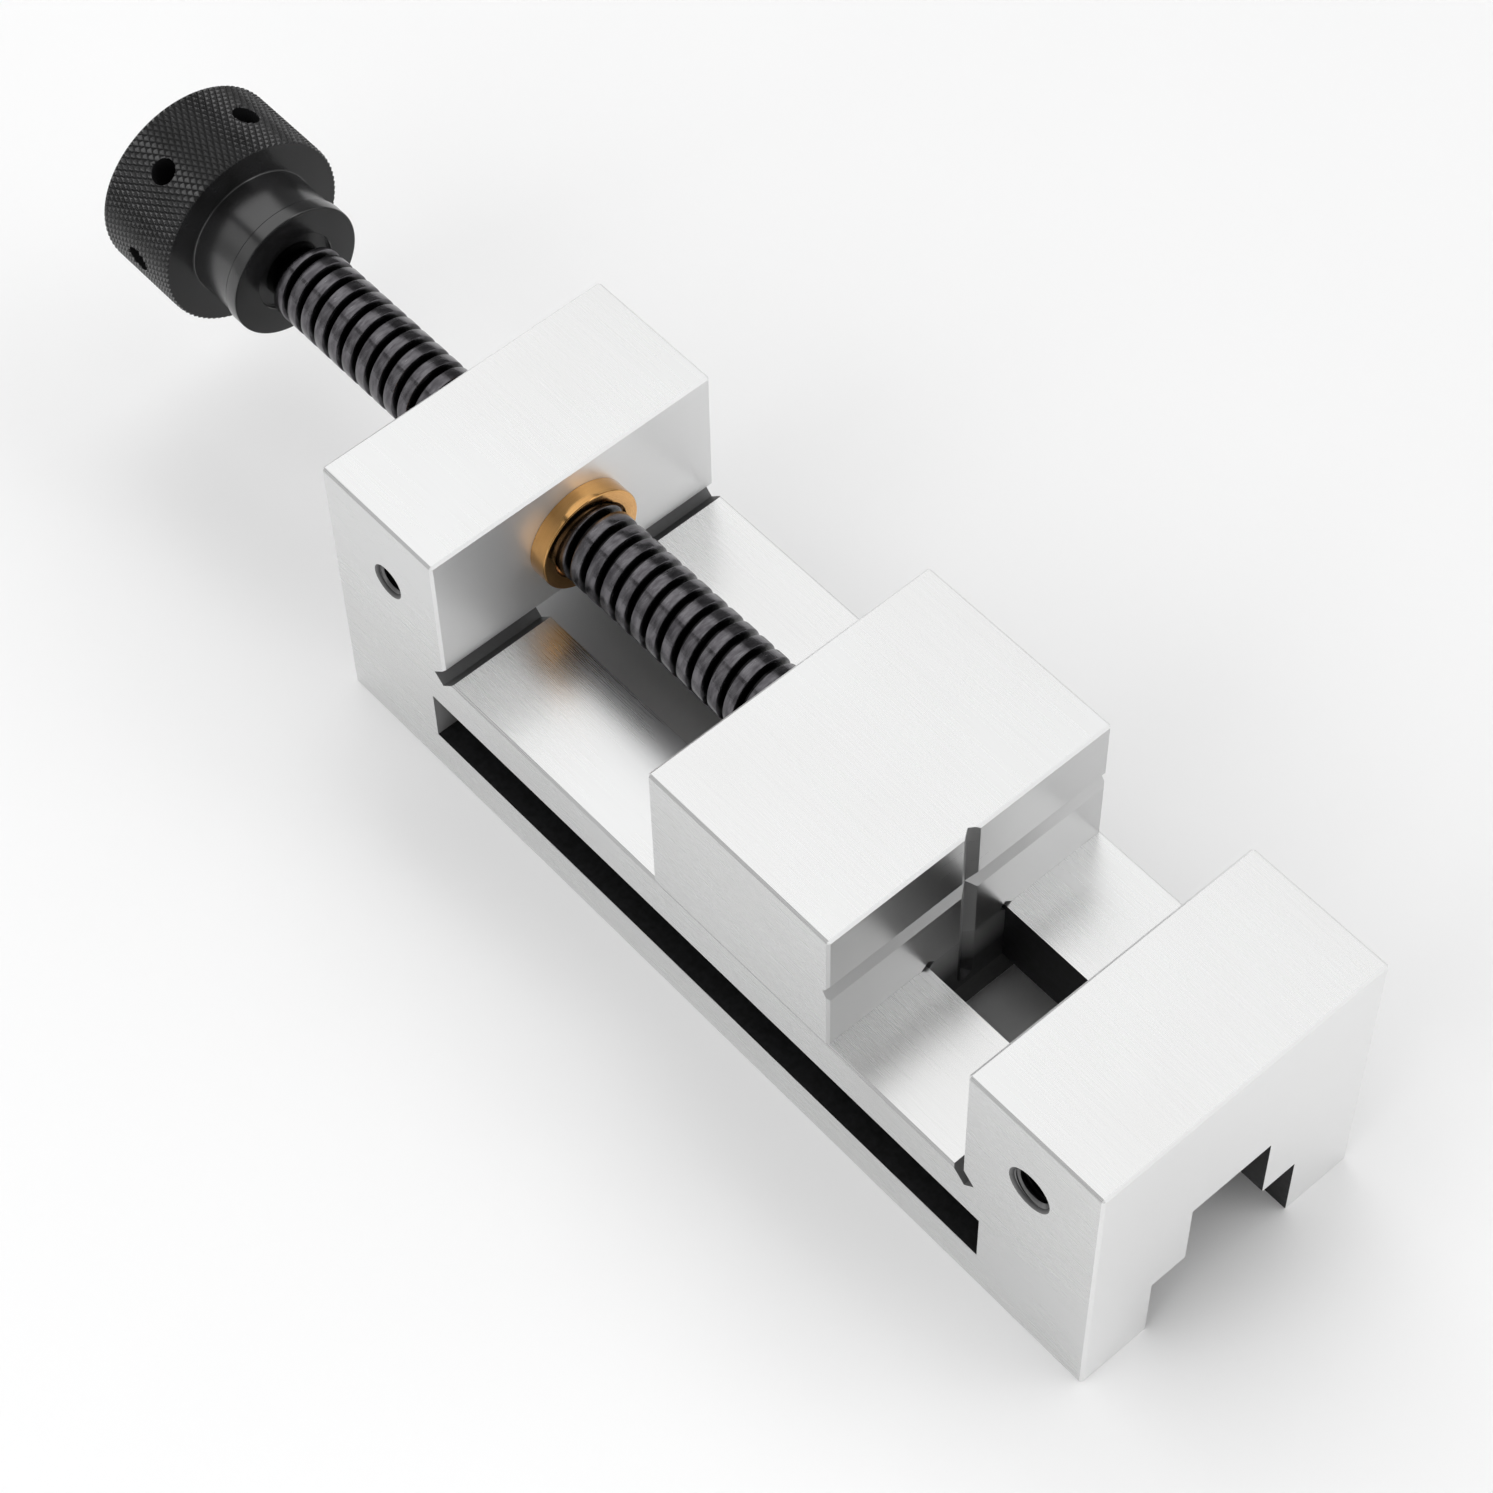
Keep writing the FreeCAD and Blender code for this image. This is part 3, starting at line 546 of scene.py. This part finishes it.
class Nodes:
    """A node tree, with a short way to write each kind of node that is used."""

    def __init__(self, tree):
        self.tree = tree

    def node(self, kind, **settings):
        made = self.tree.nodes.new(kind)
        for key, value in settings.items():
            setattr(made, key, value)
        return made

    def feed(self, socket, value):
        """Link a socket to another node's output, or set the socket's own value."""
        if isinstance(value, bpy.types.NodeSocket):
            self.tree.links.new(value, socket)
        else:
            socket.default_value = value

    def math(self, operation, first, second=0.0):
        made = self.node("ShaderNodeMath", operation=operation)
        self.feed(made.inputs[0], first)
        self.feed(made.inputs[1], second)
        return made.outputs[0]

    def axes(self, vector):
        made = self.node("ShaderNodeSeparateXYZ")
        self.feed(made.inputs[0], vector)
        return made.outputs

    def vector(self, x, y, z):
        made = self.node("ShaderNodeCombineXYZ")
        for socket, value in zip(made.inputs, (x, y, z)):
            self.feed(socket, value)
        return made.outputs[0]

    def scaled(self, vector, scale):
        made = self.node("ShaderNodeVectorMath", operation="MULTIPLY")
        self.feed(made.inputs[0], vector)
        made.inputs[1].default_value = scale
        return made.outputs[0]

    def noise(self, vector, scale=1.0, detail=3.0, roughness=0.5):
        made = self.node("ShaderNodeTexNoise")
        self.feed(made.inputs["Vector"], vector)
        made.inputs["Scale"].default_value = scale
        made.inputs["Detail"].default_value = detail
        made.inputs["Roughness"].default_value = roughness
        return made.outputs["Fac"]

    def ranged(self, value, low, high, to_low, to_high):
        """A value carried from one range to another, and held inside it."""
        made = self.node("ShaderNodeMapRange", clamp=True)
        for socket, number in zip(list(made.inputs)[:5], (value, low, high, to_low, to_high)):
            self.feed(socket, number)
        return made.outputs[0]

    def mix(self, factor, first, second):
        made = self.node("ShaderNodeMix", data_type="RGBA")
        self.feed(made.inputs["Factor"], factor)
        colours = [socket for socket in made.inputs if socket.type == "RGBA"]
        self.feed(colours[0], first)
        self.feed(colours[1], second)
        return [socket for socket in made.outputs if socket.type == "RGBA"][0]

    def ramp(self, value, stops):
        """Brightness by angle, as a share of the panels' strength: a ramp's colours end at 1."""
        made = self.node("ShaderNodeValToRGB")
        self.feed(made.inputs[0], value)
        elements = made.color_ramp.elements
        while len(elements) < len(stops):
            elements.new(1.0)
        for element, (degrees, level) in zip(elements, stops):
            element.position = (degrees + 90) / 180
            element.color = grey(level / PANEL_STRENGTH)
        return made.outputs["Color"]

    def spread(self, noise, least, most):
        """Noise as a number that goes from the least to the most."""
        return self.ranged(noise, *NOISE_SPREAD, least, most)

    def mottled(self, noise, first, second):
        """A colour that noise changes between two."""
        return self.mix(self.spread(noise, 0.0, 1.0), first, second)

    def raised(self, value, factor, amount):
        """A value, with an amount added where the factor is one."""
        return self.math("ADD", value, self.math("MULTIPLY", factor, amount))

    def lowered(self, value, factor, amount):
        """A value, with an amount taken off where the factor is one."""
        return self.math("SUBTRACT", value, self.math("MULTIPLY", factor, amount))

    def average(self, first, second):
        return self.math("ADD", self.math("MULTIPLY", first, 0.5),
                         self.math("MULTIPLY", second, 0.5))

    def distance(self, first, second):
        """How far two offsets at a right angle lead together."""
        squares = [self.math("POWER", offset, 2.0) for offset in (first, second)]
        return self.math("SQRT", self.math("ADD", *squares))

    def joined(self, operation, values):
        """One operation carried through several values."""
        total = values[0]
        for value in values[1:]:
            total = self.math(operation, total, value)
        return total

    def all_of(self, *factors):
        return self.joined("MULTIPLY", factors)

    def any_of(self, *factors):
        return self.joined("MAXIMUM", factors)

    def below(self, value, limit):
        """Where a length is less than so many millimetres."""
        return self.math("LESS_THAN", value, limit * MM)

    def within(self, value, low, high):
        """Where a length is between two numbers of millimetres."""
        return self.math("MULTIPLY", self.math("GREATER_THAN", value, low * MM),
                         self.below(value, high))

    def facing_along(self, part):
        """Where a face looks along an axis, one way or the other, from its normal's part."""
        return self.math("GREATER_THAN", self.math("ABSOLUTE", part), FACING)


class Material(Nodes):
    """A Principled material and the nodes that feed it."""

    def __init__(self, name, **sockets):
        self.material = bpy.data.materials.new(name)
        self.material.use_nodes = True
        super().__init__(self.material.node_tree)
        self.shader = self.tree.nodes["Principled BSDF"]
        coordinates = self.node("ShaderNodeTexCoord")
        self.place = coordinates.outputs["Object"]
        self.facing = coordinates.outputs["Normal"]
        self.set(**sockets)

    def set(self, **sockets):
        """Feed the shader's sockets, written with _ for each space in their names."""
        for socket, value in sockets.items():
            self.feed(self.shader.inputs[socket.replace("_", " ")], value)

    def bump(self, height, strength, distance):
        made = self.node("ShaderNodeBump")
        made.inputs["Strength"].default_value = strength
        made.inputs["Distance"].default_value = distance
        self.feed(made.inputs["Height"], height)
        self.feed(self.shader.inputs["Normal"], made.outputs[0])


def ground_grain(made):
    """Grinding lines along the vise, or across it on the faces that look along it."""
    nx, _, _ = made.axes(made.facing)
    x, y, z = made.axes(made.place)
    across = made.lowered(LINE_SCALE, made.facing_along(nx), LINE_SCALE - GRAIN_SCALE)
    lines = made.vector(made.math("MULTIPLY", x, GRAIN_SCALE), made.math("MULTIPLY", y, across),
                        made.math("MULTIPLY", z, LINE_SCALE))
    return made.noise(lines, detail=2.0)


def relief_slot(made, x, z, corner_x, away):
    """Where the slanted relief slot in a corner of the bed is."""
    half = 0.7071
    from_x = made.math("SUBTRACT", x, corner_x * MM)
    from_z = made.math("SUBTRACT", z, BED_HEIGHT * MM)
    slant = made.math("SUBTRACT", made.math("MULTIPLY", from_x, away), from_z)
    along = made.math("MULTIPLY", slant, half)
    offset = made.math("ADD", made.math("MULTIPLY", from_x, half),
                       made.math("MULTIPLY", from_z, away * half))
    return made.all_of(made.within(along, *RELIEF_ALONG), made.within(offset, *RELIEF_ACROSS))


def side_hole(made, x, across, z, centre_x, radius):
    """Where the wall, floor and countersink of a side hole are, fading at the mouth."""
    mouth, outside = (edge * MM for edge in HOLE_FADE)
    away = made.distance(made.math("SUBTRACT", x, centre_x * MM),
                         made.math("SUBTRACT", z, SIDE_HOLE_HEIGHT * MM))
    return made.all_of(made.below(away, radius),
                       made.ranged(across, mouth, outside, 1.0, HOLE_MOUTH_SHARE),
                       made.math("LESS_THAN", across, outside))


def body_painted_shade(made, x, across, z, ends):
    """Where the body is painted with shade: channel, slots, grooves and side holes."""
    inside = made.within(x, SHADE_INSET, BODY_LENGTH - SHADE_INSET)
    channel = made.all_of(made.below(across, CHANNEL_HALF_WIDTH), made.within(z, *CHANNEL_Z),
                          inside)
    slot = made.all_of(made.below(across, SLOT_HALF_WIDTH), made.within(z, *SLOT_Z), inside)
    grooves = made.all_of(made.within(across, *GROOVE_Y), made.within(z, *GROOVE_Z),
                          made.within(x, *GROOVE_X))
    deep, shallow = (edge * MM for edge in GROOVE_END_FADE)
    shaded = made.ranged(across, deep, shallow, 1.0, GROOVE_MOUTH_SHARE)
    shaded = made.math("ADD", made.math("MULTIPLY", ends, shaded),
                       made.math("SUBTRACT", 1.0, ends))
    relief = made.any_of(relief_slot(made, x, z, FIXED_JAW_FACE, -1.0),
                         relief_slot(made, x, z, BOSS_FACE, 1.0))
    holes = [side_hole(made, x, across, z, centre_x, major + COUNTERSINK_WIDTH)
             for _, centre_x, major, *_ in SIDE_HOLES]
    return made.any_of(channel, slot, made.math("MULTIPLY", grooves, shaded),
                       made.math("MULTIPLY", relief, RELIEF_SHARE), *holes)


def jaw_painted_shade(made, across, z):
    """Where the jaw's tongue is painted with shade, fading out as it rises to the jaw."""
    low, high = (edge * MM for edge in TONGUE_FADE)
    return made.all_of(made.below(across, TONGUE_HALF_WIDTH), made.ranged(z, low, high, 1.0, 0.0),
                       made.below(z, BED_HEIGHT - SHADE_INSET))


def ground_steel(name, is_jaw):
    """Fine ground tool steel, with painted shade in its hollows and on its sides and painted light
    on its ends; the jaw has a polished clamping face with painted shade.
    """
    made = Material(name)
    x, y, z = made.axes(made.place)
    nx, ny, nz = made.axes(made.facing)
    across = made.math("ABSOLUTE", y)
    ends = made.facing_along(nx)
    sides = made.facing_along(ny)
    grain = ground_grain(made)
    cloud = made.noise(made.place, scale=28.0)
    # Painted shade: near black in the channel, slots, grooves, relief slots and side holes, and on
    # the jaw's tongue
    dark = jaw_painted_shade(made, across, z) if is_jaw else body_painted_shade(made, x, across, z, ends)
    steel = made.mottled(cloud, STEEL_DARKER, STEEL_LIGHTER)
    steel = made.mix(made.ranged(grain, 0.35, 0.75, 0.0, LINES_SHARE), steel, STEEL_LINES)
    # Painted shade on the faces that look along Y
    steel = made.mix(made.math("MULTIPLY", sides, SIDES_SHARE), steel, SIDES_PAINTED_SHADE)
    # Painted light on the faces that look along X
    steel = made.mix(made.math("MULTIPLY", ends, ENDS_SHARE), steel, ENDS_PAINTED_LIGHT)
    rough = made.spread(made.average(grain, cloud), *STEEL_ROUGHNESS)
    rough = made.raised(rough, ends, ENDS_ROUGHNESS)
    metallic = made.lowered(made.lowered(1.0, ends, ENDS_MATT), dark, PAINTED_SHADE_MATT)
    if is_jaw:
        clamping = made.math("MULTIPLY", made.math("LESS_THAN", nx, -FACING),
                             made.math("LESS_THAN", nz, 0.5))
        flank = made.math("MULTIPLY", made.math("LESS_THAN", nx, -0.3),
                          made.math("GREATER_THAN", nz, 0.3))
        # Painted shade darkens the clamping face; its polish is real
        steel = made.mix(made.math("MULTIPLY", clamping, CLAMPING_SHARE), steel, CLAMPING_PAINTED_SHADE)
        rough = made.lowered(rough, clamping, CLAMPING_POLISH)
        metallic = made.raised(metallic, clamping, ENDS_MATT)
        metallic = made.lowered(metallic, flank, FLANK_MATT)
    # The near black colours of the painted shade
    shade_colour = made.mottled(made.noise(made.place, scale=900.0, detail=4.0), PAINTED_SHADE_DARKER, PAINTED_SHADE_LIGHTER)
    made.set(Base_Color=made.mix(dark, steel, shade_colour), Metallic=metallic,
             Roughness=made.raised(rough, dark, PAINTED_SHADE_ROUGHNESS))
    made.bump(grain, strength=0.09, distance=0.000004)
    return made.material


def turned_lines(made, scale=LINE_SCALE):
    """Fine rings round the screw axis, on cylinders as on faces, and the distance from it."""
    x, y, z = made.axes(made.place)
    away = made.distance(y, made.math("SUBTRACT", z, AXIS_HEIGHT * MM))
    rings = made.vector(made.math("MULTIPLY", x, scale), made.math("MULTIPLY", away, scale), 0.0)
    return made.noise(rings, detail=2.0), away


def black_oxide():
    """The knob: glossy black, with painted shade dimming its reflections between the knurl's
    diamonds and on the end faces.
    """
    made = Material("black_oxide", Metallic=0.0)
    lines, away = turned_lines(made)
    x, _, _ = made.axes(made.place)
    nx, _, _ = made.axes(made.facing)
    low, high = (edge * MM for edge in KNURL_SHADE_FADE)
    valleys = made.math("MULTIPLY", made.ranged(away, low, high, 1.0, 0.0),
                        made.math("GREATER_THAN", x, (BARREL_START + 0.2) * MM))
    # Painted shade dims the reflections in the valleys and holes, and on the end faces
    gloss_with_shade = made.lowered(OXIDE_GLOSS, valleys, VALLEY_SHADE_DIMMING)
    cloud = made.noise(made.place, scale=180.0, detail=4.0)
    made.set(Base_Color=made.mottled(cloud, OXIDE_DARKER, OXIDE_LIGHTER),
             Roughness=made.spread(made.average(lines, cloud), 0.17, 0.26),
             Specular_IOR_Level=made.lowered(gloss_with_shade, made.facing_along(nx), ENDS_SHADE_DIMMING))
    made.bump(lines, strength=0.25, distance=0.000005)
    return made.material


def thread_steel():
    """The screw: blackened, with crests that have worn brighter and roots darkened by painted
    shade.
    """
    made = Material("thread_steel", Metallic=1.0)
    lines, away = turned_lines(made, 3000.0)
    cloud = made.noise(made.scaled(made.place, (1100.0, 330.0, 330.0)), detail=4.0, roughness=0.55)
    uneven = made.raised(away, made.math("SUBTRACT", cloud, 0.5), WEAR_AND_SHADE_UNEVEN * MM)
    shade_radius, wear_radius = (radius * MM for radius in WEAR_AND_SHADE_RADII)
    worn_and_shaded = made.ranged(uneven, shade_radius, wear_radius, 0.0, 1.0)
    crest = made.mix(made.ranged(cloud, 0.35, 0.65, 0.0, 1.0),
                     THREAD_CREST_DARKER, THREAD_CREST_LIGHTER)
    # Roots painted near black as shade, crests lighter where worn
    made.set(Base_Color=made.mix(worn_and_shaded, THREAD_ROOT_SHADE, crest),
             Roughness=made.spread(made.average(lines, cloud), 0.16, 0.30))
    made.bump(lines, strength=0.3, distance=0.000008)
    return made.material


def bronze():
    """The nut: turned bronze with fine darker rings."""
    made = Material("bronze", Metallic=1.0)
    lines, _ = turned_lines(made)
    cloud = made.noise(made.place, scale=150.0)
    base = made.mottled(cloud, BRONZE_DARKER, BRONZE_LIGHTER)
    made.set(Base_Color=made.mix(made.ranged(lines, 0.4, 0.8, 0.0, 0.25), base, BRONZE_LINES),
             Roughness=made.spread(lines, 0.12, 0.19))
    made.bump(lines, strength=0.2, distance=0.000006)
    return made.material


def plain_metal(name, tones, roughness, metallic=1.0):
    """A small part's steel, mottled between two tones."""
    made = Material(name, Metallic=metallic)
    cloud = made.noise(made.place, scale=600.0, detail=4.0)
    made.set(Base_Color=made.mottled(cloud, *map(grey, tones)),
             Roughness=made.spread(cloud, *roughness))
    made.bump(cloud, strength=0.2, distance=0.00001)
    return made.material


def tapped_steel():
    """The cut thread of a side hole, with painted shade that darkens it as it goes in."""
    made = Material("tapped_steel", Metallic=1.0)
    _, y, _ = made.axes(made.place)
    depth = made.math("SUBTRACT", HALF_WIDTH * MM, made.math("ABSOLUTE", y))
    cloud = made.noise(made.place, scale=900.0)
    lit, dark = (edge * MM for edge in TAPPED_SHADE_FADE)
    # Painted shade, darker deeper in the hole
    shade = made.ranged(made.raised(depth, cloud, TAPPED_SHADE_UNEVEN * MM), lit, dark, 0.0, 1.0)
    made.set(Base_Color=made.mix(shade, grey(0.18), grey(0.03)),
             Roughness=made.spread(cloud, 0.28, 0.42))
    made.bump(cloud, strength=0.2, distance=0.00001)
    return made.material


def floor_material():
    """Pale matt paper."""
    made = Material("floor_paper", Roughness=0.9, Specular_IOR_Level=0.1)
    cloud = made.noise(made.place, scale=9.0, detail=2.0)
    made.set(Base_Color=made.mottled(cloud, grey(0.935), grey(0.945)))
    return made.material


def dress(target, material):
    """Give every material slot of an object one material."""
    if not target.data.materials:
        target.data.materials.append(None)
    for material_slot in target.material_slots:
        material_slot.link = "OBJECT"
        material_slot.material = material


def add_piece(made, body, slot, material, *nodes, sharp=28.0):
    """Finish a built piece, and say what it rides on and the nodes it replaces; its slot is not
    used.
    """
    finish_shape(made, sharp)
    made.data.materials.clear()
    made.data.materials.append(material)
    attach(made, body)
    if nodes:
        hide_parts(*nodes)


def make_camera():
    """The photograph's camera, with the axes and the place solved from its perspective."""
    data = bpy.data.cameras.new("camera")
    data.sensor_fit = "HORIZONTAL"
    data.sensor_width = 36.0
    data.lens = 94.619
    data.clip_start = 0.01
    data.clip_end = 50.0
    right = Vector((-0.66392, -0.747659, -0.014688))
    up = Vector((0.611182, -0.553837, 0.565439))
    back = Vector((-0.43089, 0.36643, 0.824659))
    place = Matrix.Translation((-0.177534, 0.251087, 0.592367))
    camera = bpy.data.objects.new("camera", data)
    bpy.context.scene.collection.objects.link(camera)
    camera.matrix_world = place @ Matrix((right, up, back)).transposed().to_4x4()
    bpy.context.scene.camera = camera


# Area lights: name, direction from the middle of the vise, distance, size, radiance
LIGHTS = (
    ("key", (0.43, -0.37, 0.82), 1.6, 0.9, 0.95),
    ("overhead", (-0.2, 0.5, 1.0), 1.8, 2.0, 0.68),
    ("side_fill", (0.0, 0.86, 0.5), 1.6, 1.2, 1.2),
)
VISE_MIDDLE = (0.1, 0, 0.03)

# Studio panels: degrees from straight up towards +Y, and brightness
REAR_PANELS = (
    (-90, 0.20), (-46, 0.14), (-36, 1.17), (22, 1.25), (25, 0.05), (31, 0.05), (34, 0.85),
    (55, 0.80), (72, 0.50), (90, 0.60),
)
FRONT_PANELS = (
    (-90, 0.80), (-60, 1.9), (-26, 2.0), (-23, 0.60), (10, 0.70), (20, 0.20), (40, 0.20),
    (60, 1.0), (90, 1.4),
)
MIDDLE_PANELS = (
    (-90, 0.40), (-60, 0.80), (-42, 0.90), (-37, 2.0), (-27.5, 2.0), (-25, 0.20), (10, 0.20),
    (20, 0.10), (40, 0.10), (60, 0.50), (90, 0.70),
)

# Where one set of panels gives way to the next, as X of the direction, and the far front's shade
REAR_FADE = (0.0, 0.12)
MIDDLE_FADE = (-0.48, -0.40)
FAR_FRONT_FADE = (-0.76, -0.62)
FAR_FRONT_SHADE = 0.40
PANEL_STRENGTH = 2.0
FLOOR_HALF_SIZE = 6000.0


def make_light(name, direction, distance, size, radiance):
    """A soft square light that shines on the middle of the vise and has no mirror image."""
    data = bpy.data.lights.new(name, "AREA")
    data.shape = "SQUARE"
    data.size = size
    data.energy = radiance * math.pi * size * size
    light = bpy.data.objects.new(name, data)
    light.visible_glossy = False
    bpy.context.scene.collection.objects.link(light)
    towards = Vector(direction).normalized()
    place = Matrix.Translation(Vector(VISE_MIDDLE) + towards * distance)
    light.matrix_world = place @ towards.to_track_quat("Z", "Y").to_matrix().to_4x4()


def make_world():
    """A studio of long panels side by side, which differ to the rear, the middle and the front."""
    world = bpy.data.worlds.new("studio")
    world.use_nodes = True
    room = Nodes(world.node_tree)
    background = room.tree.nodes["Background"]
    x, y, z = room.axes(room.node("ShaderNodeTexCoord").outputs["Generated"])
    around = room.ranged(room.math("ARCTAN2", y, z), -math.pi / 2, math.pi / 2, 0.0, 1.0)
    rear, front, middle = (room.ramp(around, panels)
                           for panels in (REAR_PANELS, FRONT_PANELS, MIDDLE_PANELS))
    front = room.mix(room.ranged(x, *MIDDLE_FADE, 0.0, 1.0), front, middle)
    front = room.mix(room.ranged(x, *FAR_FRONT_FADE, FAR_FRONT_SHADE, 0.0), front, BLACK)
    level = room.mix(room.ranged(x, *REAR_FADE, 0.0, 1.0), front, rear)
    room.feed(background.inputs["Color"], level)
    background.inputs["Strength"].default_value = PANEL_STRENGTH
    return world


def make_floor():
    """A square of pale paper under the vise."""
    half = FLOOR_HALF_SIZE
    build = bmesh.new()
    corners = [build.verts.new(Vector((x, y, 0)) * MM)
               for x, y in ((-half, -half), (half, -half), (half, half), (-half, half))]
    build.faces.new(corners)
    mesh = bpy.data.meshes.new("floor")
    build.to_mesh(mesh)
    build.free()
    mesh.materials.append(floor_material())
    floor = bpy.data.objects.new("floor", mesh)
    bpy.context.scene.collection.objects.link(floor)


bpy.context.scene.view_settings.view_transform = "Standard"
bpy.context.scene.world = make_world()
make_camera()
for light in LIGHTS:
    make_light(*light)
make_floor()

body_steel = ground_steel("ground_steel_body", is_jaw=False)
jaw_steel = ground_steel("ground_steel_jaw", is_jaw=True)
oxide = black_oxide()
fastener = plain_metal("black_fastener", (0.02, 0.035), (0.35, 0.5), metallic=0.3)
plate_steel = plain_metal("blackened_plate", (0.03, 0.05), (0.35, 0.5), metallic=0.4)
hardened = plain_metal("hardened_steel", (0.5, 0.6), (0.2, 0.3))
spring = plain_metal("spring_steel", (0.22, 0.3), (0.3, 0.42))
tapped = tapped_steel()

nodes = frame["nodes"]
for name, material in (
    ("body", body_steel), ("movable_jaw", jaw_steel), ("keeper_plate", plate_steel),
    ("keeper_screws", fastener), ("keeper_washers", spring), ("thrust_disc", hardened),
    ("capture_pins", hardened), ("nut_lock_screw", fastener), ("knob_lock_screw", fastener),
):
    dress(nodes[name], material)

add_piece(make_lead_screw(), "spindle", "black_oxide_steel", thread_steel(), "lead_screw",
          sharp=40.0)
add_piece(make_knob(), "spindle", "black_oxide_steel", oxide, "knob")
add_piece(make_nut(), "frame", "bronze", bronze(), "screw_nut")
for word, side in (("left", 1), ("right", -1)):
    for place, *sizes in SIDE_HOLES:
        thread = side_hole_thread(f"{place}_hole_thread_{word}", side, *sizes)
        add_piece(thread, "frame", "ground_steel", tapped)
